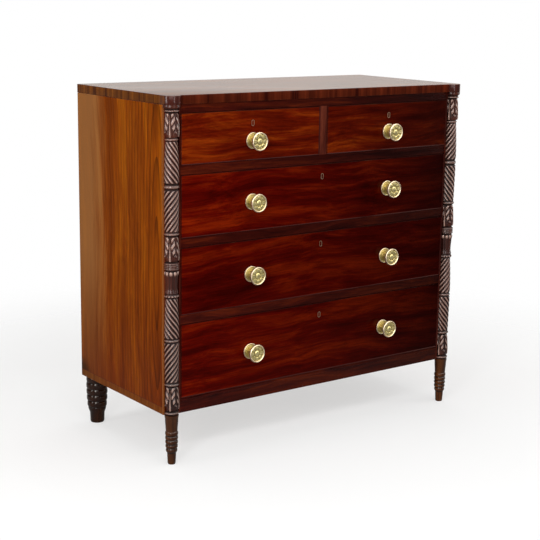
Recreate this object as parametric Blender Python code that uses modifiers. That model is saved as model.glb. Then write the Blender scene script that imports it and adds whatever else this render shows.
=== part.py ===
"""Chest of drawers: two short drawers over three long ones, carved front columns that run down
into turned legs, stouter turned rear feet and turned brass knobs.
Metres, +Z up, the front faces -Y, the origin is at the middle of the bounding box on the floor."""

import math

import bmesh
import bpy
from mathutils import Matrix

# Overall sizes, gaps and allowances; the height follows from what is stacked above the floor
chest_width = 1.05
case_depth = 0.465
part_gap = 0.0003
cut_overrun = 0.01
weld_distance = 0.00005

# Knobs: out from the knob's axis, and out from the drawer face
knob_standoff = 0.038
knob_radius = 0.0253
knob_sides = 20
knob_radius_shares = [0.0, 0.875, 0.875, 0.76, 0.41, 0.38, 0.52, 0.86, 1.0, 1.0, 0.9, 0.8, 0.4, 0.0]
knob_reach_shares = [0.0, 0.0, 0.07, 0.13, 0.19, 0.42, 0.60, 0.76, 0.82, 0.93, 1.0, 0.92, 0.90, 0.97]

# Places along the depth: the front plane is the face of the rails
front_y = -(case_depth - knob_standoff) / 2
back_y = front_y + case_depth

# Top board with a rounded ear over each column
top_thickness = 0.024
ear_radius = 0.0235
ear_segments = 18
front_overhang = 0.005
column_setback = 0.004

# Case boards
side_thickness = 0.018
side_setback = 0.014
back_thickness = 0.008
underside_height = 0.141
bottom_thickness = 0.012
dust_board_thickness = 0.008
batten_height = 0.02
edge_rounding = 0.0008
edge_angle = math.radians(40)

# Corner posts, L-shaped in plan, with the column in their outer front corner
post_width = 0.0495
post_depth = 0.045
stile_width = 0.0048
column_flat_setback = 0.009

# Drawer openings and rails, from the top down
top_rail_height = 0.022
bottom_rail_height = 0.041
rail_height = 0.0247
opening_heights = [0.1375, 0.1696, 0.1845, 0.206]
divider_width = 0.0267
plinth_bead_height = 0.008
plinth_bead_drop = 0.0015
plinth_bead_proud = 0.0025

# Drawers
front_clearance = 0.001
front_thickness = 0.019
bead_width = 0.0032
bead_proud = 0.002
drawer_depth = 0.42
drawer_side_thickness = 0.01
drawer_back_thickness = 0.009
drawer_bottom_thickness = 0.007
drawer_side_drop = 0.004
groove_height = 0.006

# Knob and keyhole places
knob_spacing = 0.49
short_knob_height_share = 0.39
long_knob_height_share = 0.475
keyhole_drop = 0.0365
escutcheon_height = 0.017
escutcheon_width = 0.009
escutcheon_wall = 0.0014
escutcheon_proud = 0.0006
escutcheon_segments = 8

# Front columns, sections from the top board down to the underside of the case
column_radius = 0.0203
column_sides = 20
cap_height = 0.0108
neck_ring_height = 0.009
top_leaf_height = 0.0655
slim_ring_height = 0.0085
wide_ring_height = 0.0175
ring_height = 0.0115
leaf_height = 0.0685
reed_height = 0.0235
inverted_leaf_height = 0.0635
base_ring_height = 0.0114
twist_rings = 8
twist_steps = 15
twist_end_share = 0.25
strand_depth_share = 0.17
twist_radius_shares = [0.86, 0.96, 1.0]
leaf_lobes = 5
leaf_facing = math.radians(225)

# Rings of each section that isn't twisted: down the section, out from the axis, and lobe depth
cap_shares = [(0.0, 1.14, 0.0), (0.6, 1.14, 0.0), (1.0, 0.9, 0.0)]
ring_shares = [(0.1, 0.88, 0.0), (0.35, 1.0, 0.0), (0.65, 1.0, 0.0), (0.9, 0.88, 0.0)]
leaf_shares = [(0.04, 0.84, 0.0), (0.1, 1.0, 0.07), (0.45, 0.95, 0.09), (0.8, 0.87, 0.07), (0.98, 0.8, 0.0)]
inverted_leaf_shares = [(0.03, 0.86, 0.0), (0.08, 1.0, 0.06), (0.5, 0.94, 0.08), (0.96, 0.84, 0.03)]
reed_shares = [(0.06, 0.9, 0.0), (0.14, 1.03, 0.0), (0.32, 0.96, 0.0), (0.5, 1.03, 0.0),
               (0.68, 0.96, 0.0), (0.86, 1.03, 0.0), (0.95, 0.9, 0.0)]

# Front leg below the case: down the leg from the underside, out from the axis
ledge_share = 0.004
leg_shares = [(ledge_share, 0.97), (0.1, 0.88), (0.32, 0.8), (0.345, 0.86), (0.375, 0.86), (0.41, 0.78),
              (0.455, 0.85), (0.485, 0.85), (0.53, 0.78), (0.58, 0.84), (0.61, 0.84), (0.65, 0.74),
              (0.685, 0.74), (0.715, 0.7), (0.74, 0.62), (0.77, 0.6), (0.8, 0.57), (0.97, 0.55),
              (1.0, 0.48)]

# Rear feet
rear_foot_radius = 0.0315
rear_foot_inset = 0.0325
rear_foot_sides = 20
rear_foot_shares = [(0.0, 0.98), (0.25, 1.0), (0.4, 0.98), (0.43, 1.0), (0.47, 1.0), (0.5, 0.95),
                    (0.55, 0.98), (0.58, 0.98), (0.61, 0.93), (0.66, 0.95), (0.69, 0.95), (0.72, 0.86),
                    (0.77, 0.86), (0.81, 0.78), (0.84, 0.68), (0.96, 0.66), (1.0, 0.58)]
tenon_radius = 0.012

# Colours: red, green, blue, then roughness and metallic
finishes = {
    "mahogany_side": ((0.30, 0.085, 0.012), 0.35, 0.0),
    "mahogany_front": ((0.11, 0.012, 0.004), 0.25, 0.0),
    "mahogany_dark": ((0.035, 0.008, 0.004), 0.25, 0.0),
    "mahogany_top": ((0.20, 0.06, 0.02), 0.2, 0.0),
    "oak_lining": ((0.36, 0.21, 0.10), 0.6, 0.0),
    "brass": ((0.72, 0.52, 0.19), 0.25, 1.0),
}

for old_object in list(bpy.context.scene.objects):
    bpy.data.objects.remove(old_object, do_unlink=True)

chest = bpy.data.collections.new("chest_of_drawers")
bpy.context.scene.collection.children.link(chest)
cutters = bpy.data.collections.new("cutters")
bpy.context.scene.collection.children.link(cutters)
materials = {}


def material_for(finish):
    if finish not in materials:
        colour, roughness, metallic = finishes[finish]
        material = bpy.data.materials.new(finish)
        material.use_nodes = True
        shader = material.node_tree.nodes["Principled BSDF"]
        shader.inputs["Base Color"].default_value = (*colour, 1.0)
        shader.inputs["Roughness"].default_value = roughness
        shader.inputs["Metallic"].default_value = metallic
        material.diffuse_color = (*colour, 1.0)
        materials[finish] = material
    return materials[finish]


def add_object(name, mesh, finish, place=(0, 0, 0), parent=None):
    piece = bpy.data.objects.new(name, mesh)
    chest.objects.link(piece)
    piece.location = place
    piece.parent = parent
    mesh.materials.clear()
    mesh.materials.append(material_for(finish))
    return piece


def mesh_from(name, bm, smooth=False):
    bmesh.ops.recalc_face_normals(bm, faces=bm.faces)
    mesh = bpy.data.meshes.new(name)
    bm.to_mesh(mesh)
    bm.free()
    for polygon in mesh.polygons:
        polygon.use_smooth = smooth
    return mesh


def add_board(name, low, high, finish, parent=None, rounding=0.0):
    """A board between two corners; its origin is at its middle."""
    size = [b - a for a, b in zip(low, high)]
    middle = [(a + b) / 2 for a, b in zip(low, high)]
    bm = bmesh.new()
    bmesh.ops.create_cube(bm, size=1.0, matrix=Matrix.Diagonal((*size, 1.0)))
    board = add_object(name, mesh_from(name, bm), finish, middle, parent)
    if rounding:
        bevel = board.modifiers.new("edges", "BEVEL")
        bevel.width = rounding
        bevel.segments = 1
    return board


def prism(name, outline, low, high, finish, rounding=0.0):
    """A closed outline in plan, carried up from one height to another."""
    bm = bmesh.new()
    bottom = bm.faces.new([bm.verts.new((x, y, low)) for x, y in outline])
    lifted = bmesh.ops.extrude_face_region(bm, geom=[bottom])["geom"]
    corners = [part for part in lifted if isinstance(part, bmesh.types.BMVert)]
    bmesh.ops.translate(bm, verts=corners, vec=(0, 0, high - low))
    piece = add_object(name, mesh_from(name, bm), finish)
    if rounding:
        bevel = piece.modifiers.new("edges", "BEVEL")
        bevel.width = rounding
        bevel.segments = 1
        bevel.angle_limit = edge_angle
    return piece


def turned(name, points, sides, finish, place, parent=None, tilt=0.0):
    """A profile turned about its own upright axis; the points run down the outer side."""
    mesh = bpy.data.meshes.new(name)
    edges = [(i, i + 1) for i in range(len(points) - 1)]
    mesh.from_pydata([(radius, 0, height) for radius, height in points], edges, [])
    piece = add_object(name, mesh, finish, place, parent)
    piece.rotation_euler = (tilt, 0, 0)
    screw = piece.modifiers.new("turn", "SCREW")
    screw.axis = "Z"
    screw.angle = math.tau
    screw.steps = sides
    screw.render_steps = sides
    screw.use_merge_vertices = True
    screw.merge_threshold = weld_distance
    screw.use_smooth_shade = True
    return piece


def joined_rings(name, rings, smooth=True):
    """A closed skin over a stack of rings with the same number of points."""
    bm = bmesh.new()
    loops = [[bm.verts.new(point) for point in ring] for ring in rings]
    for upper, lower in zip(loops, loops[1:]):
        count = len(upper)
        for i in range(count):
            j = (i + 1) % count
            bm.faces.new((upper[i], lower[i], lower[j], upper[j]))
    bm.faces.new(loops[0])
    bm.faces.new(list(reversed(loops[-1])))
    return mesh_from(name, bm, smooth)


# Heights of the case and of its openings, from the top down
half_width = chest_width / 2
rails_between_height = rail_height * (len(opening_heights) - 1)
case_height = bottom_rail_height + sum(opening_heights) + rails_between_height + top_rail_height
case_top = underside_height + case_height
top_underside = case_top + part_gap
opening_tops = []
level = case_top - top_rail_height
for opening_height in opening_heights:
    opening_tops.append(level)
    level -= opening_height + rail_height
opening_bottoms = [top - height for top, height in zip(opening_tops, opening_heights)]
opening_half = half_width - post_width
inner_half = half_width - side_thickness - part_gap
column_x = half_width - ear_radius
column_y = front_y + column_setback
column_flat_y = front_y + column_flat_setback
post_face_y = column_flat_y + part_gap
behind_posts = front_y + post_depth + part_gap
back_face_y = back_y - back_thickness - part_gap

# Top board: one outline with an ear at each front corner
top_front_y = front_y - front_overhang
ear_start = math.asin((column_y - top_front_y) / ear_radius)


def ear_points(side):
    """From the side of the top round to where the ear meets the front edge."""
    sweep = math.pi - ear_start
    turns = [-sweep * step / ear_segments for step in range(ear_segments + 1)]
    return [(side * (column_x + ear_radius * math.cos(turn)), column_y + ear_radius * math.sin(turn))
            for turn in turns]


left_ear = ear_points(-1)
right_ear = ear_points(1)
top_outline = [(-half_width, back_y), *left_ear, *reversed(right_ear), (half_width, back_y)]
prism("top", top_outline, top_underside, top_underside + top_thickness, "mahogany_top", edge_rounding)

# Sides, back, bottom and corner posts
side_front_y = front_y + side_setback + part_gap
for side, label in ((-1, "left"), (1, "right")):
    near, far = side * half_width, side * (half_width - side_thickness)
    add_board("side_" + label, (min(near, far), side_front_y, underside_height),
              (max(near, far), back_y, case_top), "mahogany_side", rounding=edge_rounding)
    post_outline = [(half_width, post_face_y), (half_width, side_front_y - part_gap),
                    (inner_half, side_front_y - part_gap), (inner_half, front_y + post_depth),
                    (opening_half, front_y + post_depth), (opening_half, front_y),
                    (opening_half + stile_width, front_y), (opening_half + stile_width, post_face_y)]
    prism("corner_post_" + label, [(side * x, y) for x, y in post_outline],
          underside_height, case_top, "mahogany_dark")

add_board("back", (-inner_half, back_y - back_thickness, underside_height),
          (inner_half, back_y, case_top), "oak_lining")

# Rails and the upright divider between the short drawers
rail_half = opening_half - part_gap
rail_back_y = front_y + post_depth
add_board("rail_top", (-rail_half, front_y, opening_tops[0]),
          (rail_half, rail_back_y, case_top), "mahogany_dark")
for number, bottom in enumerate(opening_bottoms[:-1], start=1):
    add_board("rail_" + str(number), (-rail_half, front_y, bottom - rail_height),
              (rail_half, rail_back_y, bottom), "mahogany_dark")
add_board("divider", (-divider_width / 2, front_y, opening_bottoms[0] + part_gap),
          (divider_width / 2, rail_back_y, opening_tops[0] - part_gap), "mahogany_dark")


def rail_with_bead():
    """The bottom rail: its section carries a small moulding along the upper edge."""
    bead_top = opening_bottoms[-1] - plinth_bead_drop
    bead_bottom = bead_top - plinth_bead_height
    bead_face = front_y - plinth_bead_proud
    section = [(rail_back_y, underside_height), (front_y, underside_height), (front_y, bead_bottom),
               (bead_face, bead_bottom + plinth_bead_drop), (bead_face, bead_top - plinth_bead_drop),
               (front_y, bead_top), (front_y, opening_bottoms[-1]), (rail_back_y, opening_bottoms[-1])]
    bm = bmesh.new()
    end = bm.faces.new([bm.verts.new((-rail_half, y, z)) for y, z in section])
    lifted = bmesh.ops.extrude_face_region(bm, geom=[end])["geom"]
    corners = [part for part in lifted if isinstance(part, bmesh.types.BMVert)]
    bmesh.ops.translate(bm, verts=corners, vec=(2 * rail_half, 0, 0))
    add_object("rail_bottom", mesh_from("rail_bottom", bm), "mahogany_dark")


rail_with_bead()


def add_runner_board(name, top_z, thickness, centre_batten=False):
    """A level board that a drawer slides on, with a guide batten along each side."""
    low_z = top_z - thickness
    high_z = top_z + batten_height
    batten = opening_half
    section = [(-inner_half, low_z), (inner_half, low_z), (inner_half, high_z),
               (batten, high_z), (batten, top_z)]
    if centre_batten:
        middle = divider_width / 2
        section += [(middle, top_z), (middle, high_z), (-middle, high_z), (-middle, top_z)]
    section += [(-batten, top_z), (-batten, high_z), (-inner_half, high_z)]
    bm = bmesh.new()
    end = bm.faces.new([bm.verts.new((x, behind_posts, z)) for x, z in section])
    lifted = bmesh.ops.extrude_face_region(bm, geom=[end])["geom"]
    corners = [part for part in lifted if isinstance(part, bmesh.types.BMVert)]
    bmesh.ops.translate(bm, verts=corners, vec=(0, back_face_y - behind_posts, 0))
    add_object(name, mesh_from(name, bm), "oak_lining")


for number, bottom in enumerate(opening_bottoms[:-1], start=1):
    add_runner_board("dust_board_" + str(number), bottom, dust_board_thickness, centre_batten=number == 1)
add_runner_board("bottom_board", opening_bottoms[-1], bottom_thickness)


# Front columns with their legs
def ring_points(side, height, radius, turn, lobe, strand):
    """One ring of a column, with lobes for leaves or a groove at every second point for strands."""
    points = []
    for i in range(column_sides):
        angle = math.tau * i / column_sides + turn
        carved = radius * (1 + lobe * math.cos(leaf_lobes * (angle - leaf_facing)))
        if strand and i % 2:
            carved = radius * (1 - strand_depth_share)
        x = -column_x + carved * math.cos(angle)
        y = column_y + carved * math.sin(angle)
        points.append((-side * x, y, height))
    return points


def twist_section(side, top_z, direction, turn, swells_down):
    """Rope twist: each ring is turned a little further than the one above it."""
    rings = []
    total_turn = direction * math.tau * twist_steps / column_sides
    for step in range(twist_rings + 1):
        share = step / twist_rings
        along = share if swells_down else 1 - share
        low, middle, high = twist_radius_shares
        swell = (middle - (low + high) / 2) * math.sin(math.pi * along)
        radius = column_radius * (low + (high - low) * along + swell)
        inset = twist_height / twist_rings * twist_end_share
        height = top_z - inset - (twist_height - 2 * inset) * share
        rings.append(ring_points(side, height, radius, turn + total_turn * share, 0.0, True))
    return rings, turn + total_turn


def table_section(side, top_z, section_height, shares, turn):
    return [ring_points(side, top_z - section_height * down, column_radius * out, turn, lobe, False)
            for down, out, lobe in shares]


# Sections from the top down; the twists stand at zero here and share what the others leave
section_plan = [
    ("cap", cap_height), ("ring", neck_ring_height), ("leaf", top_leaf_height), ("ring", slim_ring_height),
    ("twist_down", 0), ("ring", wide_ring_height), ("twist_up", 0),
    ("ring", ring_height), ("leaf", leaf_height), ("reed", reed_height),
    ("inverted", inverted_leaf_height), ("ring", ring_height), ("twist_down", 0),
    ("ring", ring_height), ("twist_up", 0), ("ring", ring_height), ("leaf", leaf_height),
    ("ring", base_ring_height)]
twist_count = sum(1 for kind, section_height in section_plan if not section_height)
plain_height = sum(section_height for kind, section_height in section_plan)
twist_height = (case_height - plain_height) / twist_count
section_tables = {"cap": cap_shares, "ring": ring_shares, "leaf": leaf_shares,
                  "reed": reed_shares, "inverted": inverted_leaf_shares}


def column_cutter(side, label):
    """The room of the corner post and its clearance, taken out of the round column."""
    stile_x = opening_half + stile_width + part_gap
    behind_y = column_y + column_radius + cut_overrun
    before_y = column_y - ear_radius - cut_overrun
    outline = [(half_width + cut_overrun, column_flat_y), (half_width + cut_overrun, behind_y),
               (opening_half, behind_y), (opening_half, before_y),
               (stile_x, before_y), (stile_x, column_flat_y)]
    cutter = prism("cutter_column_" + label, [(side * x, y) for x, y in outline],
                   underside_height - part_gap, case_top + cut_overrun, "mahogany_dark")
    chest.objects.unlink(cutter)
    cutters.objects.link(cutter)
    cutter.hide_render = True
    cutter.display_type = "WIRE"
    return cutter


def add_column(side, label):
    turn = 0.0
    top_z = case_top
    rings = []
    for kind, section_height in section_plan:
        if kind == "twist_down":
            found, turn = twist_section(side, top_z, 1, turn, True)
            rings += found
        elif kind == "twist_up":
            found, turn = twist_section(side, top_z, -1, turn, False)
            rings += found
        else:
            rings += table_section(side, top_z, section_height, section_tables[kind], turn)
        top_z -= section_height or twist_height
    for down, out in leg_shares:
        height = underside_height * (1 - down)
        rings.append(ring_points(side, height, column_radius * out, turn, 0.0, False))
    name = "front_column_" + label
    column = add_object(name, joined_rings(name, rings), "mahogany_dark")
    cut = column.modifiers.new("post", "BOOLEAN")
    cut.operation = "DIFFERENCE"
    cut.solver = "EXACT"
    cut.object = column_cutter(side, label)


add_column(-1, "left")
add_column(1, "right")

# Rear feet: turned, with a tenon up to the bottom board
foot_top = underside_height - part_gap
tenon_top = opening_bottoms[-1] - bottom_thickness - part_gap
foot_points = [(0.0, tenon_top), (tenon_radius, tenon_top), (tenon_radius, foot_top)]
foot_points += [(rear_foot_radius * out, foot_top * (1 - down)) for down, out in rear_foot_shares]
foot_points += [(0.0, 0.0)]
for side, label in ((-1, "left"), (1, "right")):
    turned("rear_foot_" + label, foot_points, rear_foot_sides, "mahogany_dark",
           (side * (half_width - rear_foot_inset), back_y - rear_foot_inset, 0))


# Drawers
def add_drawer(label, low_x, high_x, bottom_z, top_z):
    """A drawer box on an empty at the middle of its front; the empty slides along Y."""
    slide = bpy.data.objects.new("slide_" + label, None)
    chest.objects.link(slide)
    middle_x = (low_x + high_x) / 2
    slide.location = (middle_x, front_y, bottom_z)
    half = (high_x - low_x) / 2 - front_clearance
    height = top_z - bottom_z
    front_low = front_clearance
    front_high = height - front_clearance

    bm = bmesh.new()
    bmesh.ops.create_cube(bm, size=1.0)
    size = (2 * half, front_thickness + bead_proud, front_high - front_low)
    middle = (0, (front_thickness - bead_proud) / 2, (front_high + front_low) / 2)
    stretched = Matrix.Translation(middle) @ Matrix.Diagonal((*size, 1.0))
    bmesh.ops.transform(bm, matrix=stretched, verts=bm.verts)
    face = min(bm.faces, key=lambda item: item.calc_center_median().y)
    bmesh.ops.inset_region(bm, faces=[face], thickness=bead_width)
    bmesh.ops.translate(bm, verts=face.verts, vec=(0, bead_proud, 0))
    name = label + "_front"
    add_object(name, mesh_from(name, bm), "mahogany_front", (0, 0, 0), slide)

    inner = half - drawer_side_thickness
    box_front = front_thickness + part_gap
    side_top = height - drawer_side_drop
    for side, hand in ((-1, "left"), (1, "right")):
        add_board(label + "_side_" + hand, (min(side * half, side * inner), box_front, part_gap),
                  (max(side * half, side * inner), drawer_depth, side_top), "oak_lining", slide)
    bottom_top = groove_height + drawer_bottom_thickness
    within = inner - part_gap
    add_board(label + "_bottom", (-within, box_front, groove_height), (within, drawer_depth, bottom_top),
              "oak_lining", slide)
    add_board(label + "_back", (-within, drawer_depth - drawer_back_thickness, bottom_top + part_gap),
              (within, drawer_depth, side_top - drawer_side_drop), "oak_lining", slide)
    return slide


def add_knob(name, slide, x, z):
    length = knob_standoff - part_gap
    points = [(knob_radius * out, length * reach)
              for out, reach in zip(knob_radius_shares, knob_reach_shares)]
    turned(name, points[::-1], knob_sides, "brass", (x, -part_gap, z), slide, math.pi / 2)


def add_escutcheon(name, slide, x, z):
    """A thin brass keyhole lining: a long ring with round ends."""
    half_straight = (escutcheon_height - escutcheon_width) / 2
    bm = bmesh.new()
    rows = []
    for radius in (escutcheon_width / 2, escutcheon_width / 2 - escutcheon_wall):
        ring = []
        for start, middle_z in ((0.0, half_straight), (math.pi, -half_straight)):
            for step in range(escutcheon_segments + 1):
                angle = start + math.pi * step / escutcheon_segments
                ring.append((radius * math.cos(angle), middle_z + radius * math.sin(angle)))
        for y in (-escutcheon_proud - part_gap, -part_gap):
            rows.append([bm.verts.new((ring_x, y, ring_z)) for ring_x, ring_z in ring])
    count = len(rows[0])
    for first, second in ((rows[0], rows[1]), (rows[1], rows[3]), (rows[3], rows[2]), (rows[2], rows[0])):
        for i in range(count):
            j = (i + 1) % count
            bm.faces.new((first[i], first[j], second[j], second[i]))
    add_object(name, mesh_from(name, bm), "brass", (x, 0, z), slide)


drawer_plan = [
    ("drawer_top_left", -opening_half, -divider_width / 2, 0),
    ("drawer_top_right", divider_width / 2, opening_half, 0),
    ("drawer_second", -opening_half, opening_half, 1),
    ("drawer_third", -opening_half, opening_half, 2),
    ("drawer_fourth", -opening_half, opening_half, 3)]

for label, low_x, high_x, row in drawer_plan:
    slide = add_drawer(label, low_x, high_x, opening_bottoms[row], opening_tops[row])
    opening_height = opening_heights[row]
    add_escutcheon(label + "_escutcheon", slide, 0, opening_height - keyhole_drop)
    if row == 0:
        add_knob(label + "_knob", slide, 0, opening_height * short_knob_height_share)
    else:
        knob_z = opening_height * long_knob_height_share
        add_knob(label + "_knob_left", slide, -knob_spacing / 2, knob_z)
        add_knob(label + "_knob_right", slide, knob_spacing / 2, knob_z)

node_count = sum(1 for item in chest.objects if item.type == "MESH")
print("nodes", node_count, "opening bottoms", [round(value, 4) for value in opening_bottoms])
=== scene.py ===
import math
from types import SimpleNamespace

import bpy
from mathutils import Matrix, Vector


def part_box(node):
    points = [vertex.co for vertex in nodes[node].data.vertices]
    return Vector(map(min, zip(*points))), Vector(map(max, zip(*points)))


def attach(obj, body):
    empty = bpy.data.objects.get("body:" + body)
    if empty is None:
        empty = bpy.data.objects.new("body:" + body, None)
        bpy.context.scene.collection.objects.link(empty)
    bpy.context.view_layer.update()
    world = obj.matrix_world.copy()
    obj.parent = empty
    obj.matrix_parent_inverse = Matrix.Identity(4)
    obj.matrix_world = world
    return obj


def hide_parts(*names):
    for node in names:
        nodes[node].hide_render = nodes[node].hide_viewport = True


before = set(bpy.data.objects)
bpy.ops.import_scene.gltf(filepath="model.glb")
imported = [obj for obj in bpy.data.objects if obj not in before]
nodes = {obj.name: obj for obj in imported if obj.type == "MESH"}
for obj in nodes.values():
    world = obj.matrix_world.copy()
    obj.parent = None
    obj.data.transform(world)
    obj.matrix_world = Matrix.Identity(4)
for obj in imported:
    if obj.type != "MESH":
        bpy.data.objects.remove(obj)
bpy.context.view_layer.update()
print("frame loaded:", len(nodes), "nodes")

# Places on the chest, read from the frame; gap is the play that the CAD leaves between glued pieces
chest = {
    "frontY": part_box("rail_1")[0].y,
    "backY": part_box("top")[1].y,
    "underside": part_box("rail_bottom")[0].z,
    "caseTop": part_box("rail_top")[1].z,
    "halfWidth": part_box("top")[1].x,
    "gap": 0.0003,
}


# Small helpers for work in edit mode
def deselectAll():
    if bpy.context.mode != "OBJECT":
        bpy.ops.object.mode_set(mode="OBJECT")
    bpy.ops.object.select_all(action="DESELECT")


def makeActive(piece):
    deselectAll()
    piece.select_set(True)
    bpy.context.view_layer.objects.active = piece


def editMode(piece, kind="VERT"):
    makeActive(piece)
    bpy.ops.object.mode_set(mode="EDIT")
    bpy.ops.mesh.select_mode(type=kind)


def leaveEdit():
    bpy.ops.object.mode_set(mode="OBJECT")


def turnFacesOut():
    bpy.ops.mesh.select_all(action="SELECT")
    bpy.ops.mesh.normals_make_consistent(inside=False)


def applyPlace(piece):
    makeActive(piece)
    bpy.ops.object.transform_apply(location=True, rotation=True, scale=True)


def smoothEdges(degrees):
    bpy.ops.object.shade_smooth_by_angle(angle=math.radians(degrees))


def named(piece, name):
    piece.name = name
    piece.data.name = name
    return piece


def dress(piece, body, replaced):
    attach(piece, body)
    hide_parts(replaced)


# The carving's depth goes with each vertex: -1 on a crest, 0 where plain, 1 in a groove
def keepRelief(mesh, shades):
    recess = mesh.attributes.new("recess", "FLOAT", "POINT")
    recess.data.foreach_set("value", shades)


def smoothStep(low, high, value):
    share = min(1.0, max(0.0, (value - low) / (high - low)))
    return share * share * (3 - 2 * share)


# Helpers for node trees: a number or a colour is set on the socket, anything else is joined to it
def addNode(tree, kind, **settings):
    node = tree.nodes.new(kind)
    for key, value in settings.items():
        setattr(node, key, value)
    return node


def feed(tree, socket, value):
    if isinstance(value, tuple) and socket.type == "RGBA":
        value = (*value, 1.0)
    if isinstance(value, (int, float, tuple)):
        socket.default_value = value
    else:
        tree.links.new(value, socket)


def feedRow(tree, node, values):
    for socket, value in zip(node.inputs, values):
        feed(tree, socket, value)


def feedSockets(tree, node, values):
    for label, value in values.items():
        feed(tree, node.inputs[label], value)


def newMaterial(name):
    material = bpy.data.materials.new(name)
    material.use_nodes = True
    return material, material.node_tree, material.node_tree.nodes["Principled BSDF"]


def mathNode(tree, operation, *values):
    node = addNode(tree, "ShaderNodeMath", operation=operation)
    feedRow(tree, node, values)
    return node.outputs[0]


def times(tree, first, second):
    return mathNode(tree, "MULTIPLY", first, second)


def plus(tree, first, second):
    return mathNode(tree, "ADD", first, second)


def vectorNode(tree, operation, result, *values):
    node = addNode(tree, "ShaderNodeVectorMath", operation=operation)
    feedRow(tree, node, values)
    return node.outputs[result]


def mappingNode(tree, vector, **settings):
    node = addNode(tree, "ShaderNodeMapping")
    feedSockets(tree, node, {"Vector": vector, **settings})
    return node.outputs[0]


def mixColour(tree, factor, first, second, blend="MIX"):
    node = addNode(tree, "ShaderNodeMix", data_type="RGBA", blend_type=blend)
    feedSockets(tree, node, {0: factor, 6: first, 7: second})
    return node.outputs[2]


def scaledColour(tree, colour, amount):
    node = addNode(tree, "ShaderNodeVectorMath", operation="SCALE")
    feedSockets(tree, node, {0: colour, "Scale": amount})
    return node.outputs[0]


def rangeNode(tree, value, start, end, low=0.0, high=1.0, kind="LINEAR"):
    node = addNode(tree, "ShaderNodeMapRange", interpolation_type=kind)
    values = {"Value": value, "From Min": start, "From Max": end, "To Min": low, "To Max": high}
    feedSockets(tree, node, values)
    return node.outputs[0]


def greyRamp(tree, factor, stops):
    node = addNode(tree, "ShaderNodeValToRGB")
    ramp = node.color_ramp
    while len(ramp.elements) < len(stops):
        ramp.elements.new(0.5)
    for element, (place, grey) in zip(ramp.elements, stops):
        element.position = place
        element.color = (grey, grey, grey, 1.0)
    feed(tree, node.inputs[0], factor)
    return node.outputs[0]


def noiseNode(tree, vector, **settings):
    node = addNode(tree, "ShaderNodeTexNoise")
    feedSockets(tree, node, {"Vector": vector, **settings})
    return node.outputs


def separate(tree, vector):
    node = addNode(tree, "ShaderNodeSeparateXYZ")
    feed(tree, node.inputs[0], vector)
    return node.outputs


def newGroup(name, inputs, outputs):
    group = bpy.data.node_groups.new(name, "ShaderNodeTree")
    for label, kind in inputs.items():
        group.interface.new_socket(label, in_out="INPUT", socket_type="NodeSocket" + kind)
    for label, kind in outputs.items():
        group.interface.new_socket(label, in_out="OUTPUT", socket_type="NodeSocket" + kind)
    return group, addNode(group, "NodeGroupInput").outputs, addNode(group, "NodeGroupOutput").inputs


def placeGroup(tree, group, values):
    node = addNode(tree, "ShaderNodeGroup", node_tree=group)
    feedSockets(tree, node, values)
    return node.outputs


# One wood finish for every board, post and turning: x of its vector runs along the grain
grain = {
    "warp": {"Scale": 2.2, "Detail": 2.0}, "warpReach": 0.09,
    "streak": {"along": 1.3, "across": 24.0, "noise": {"Detail": 6.0, "Roughness": 0.66}},
    "fibre": {"along": 7.0, "across": 260.0, "noise": {"Detail": 3.0, "Roughness": 0.6}},
    "pores": {"along": 45.0, "across": 900.0, "noise": {"Detail": 1.0, "Roughness": 0.5}},
    "flame": {"along": 3.2, "across": 15.0, "noise": {"Detail": 5.0, "Roughness": 0.7, "Distortion": 0.9}},
    "poreStops": [(0.56, 0.0), (0.72, 1.0)], "poreShare": 0.4,
    "fibreStops": [(0.3, 0.6), (0.7, 1.3)], "fibreShare": 0.8,
    "darkAt": 0.40, "middleAt": 0.5, "lightAt": 0.605,
    "roughSwing": 0.12, "roughDrop": 0.05, "bump": 0.12, "bumpDepth": 0.0004, "poreDepth": 0.6,
}


def buildWoodGroup():
    inputs = {"Vector": "Vector", "Figure": "Float", "Flame Share": "Float", "Roughness": "Float",
              "Dark": "Color", "Middle": "Color", "Light": "Color"}
    outputs = {"Colour": "Color", "Roughness": "Float", "Normal": "Vector", "Streak": "Float",
               "Flame": "Float"}
    group, start, end = newGroup("woodFinish", inputs, outputs)

    warp = noiseNode(group, start["Vector"], **grain["warp"])["Color"]  # bends the lines of the grain
    centred = vectorNode(group, "SUBTRACT", "Vector", warp, (0.5, 0.5, 0.5))
    reach = times(group, start["Figure"], grain["warpReach"])
    bent = vectorNode(group, "ADD", "Vector", start["Vector"], scaledColour(group, centred, reach))

    def grainLines(look):
        stretched = mappingNode(group, bent, Scale=(look["along"], look["across"], look["across"]))
        return noiseNode(group, stretched, Scale=1.0, **look["noise"])["Fac"]

    streak, fibre, flame = (grainLines(grain[key]) for key in ("streak", "fibre", "flame"))
    pores = greyRamp(group, grainLines(grain["pores"]), grain["poreStops"])

    steady = mathNode(group, "SUBTRACT", 1.0, start["Flame Share"])
    blended = plus(group, times(group, flame, start["Flame Share"]), times(group, streak, steady))
    lower = rangeNode(group, blended, grain["darkAt"], grain["middleAt"])
    upper = rangeNode(group, blended, grain["middleAt"], grain["lightAt"])
    colour = mixColour(group, lower, start["Dark"], start["Middle"])
    colour = mixColour(group, upper, colour, start["Light"])
    fibres = greyRamp(group, fibre, grain["fibreStops"])
    colour = mixColour(group, grain["fibreShare"], colour, fibres, "MULTIPLY")
    colour = mixColour(group, times(group, pores, grain["poreShare"]), colour, start["Dark"])

    rough = mathNode(group, "SUBTRACT", start["Roughness"], grain["roughDrop"])
    rough = plus(group, times(group, streak, grain["roughSwing"]), rough)
    bump = addNode(group, "ShaderNodeBump")
    height = mathNode(group, "SUBTRACT", fibre, times(group, pores, grain["poreDepth"]))
    feedSockets(group, bump, {"Strength": grain["bump"], "Distance": grain["bumpDepth"], "Height": height})
    for label, result in zip(outputs, (colour, rough, bump.outputs[0], streak, flame)):
        feed(group, end[label], result)
    return group


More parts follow.
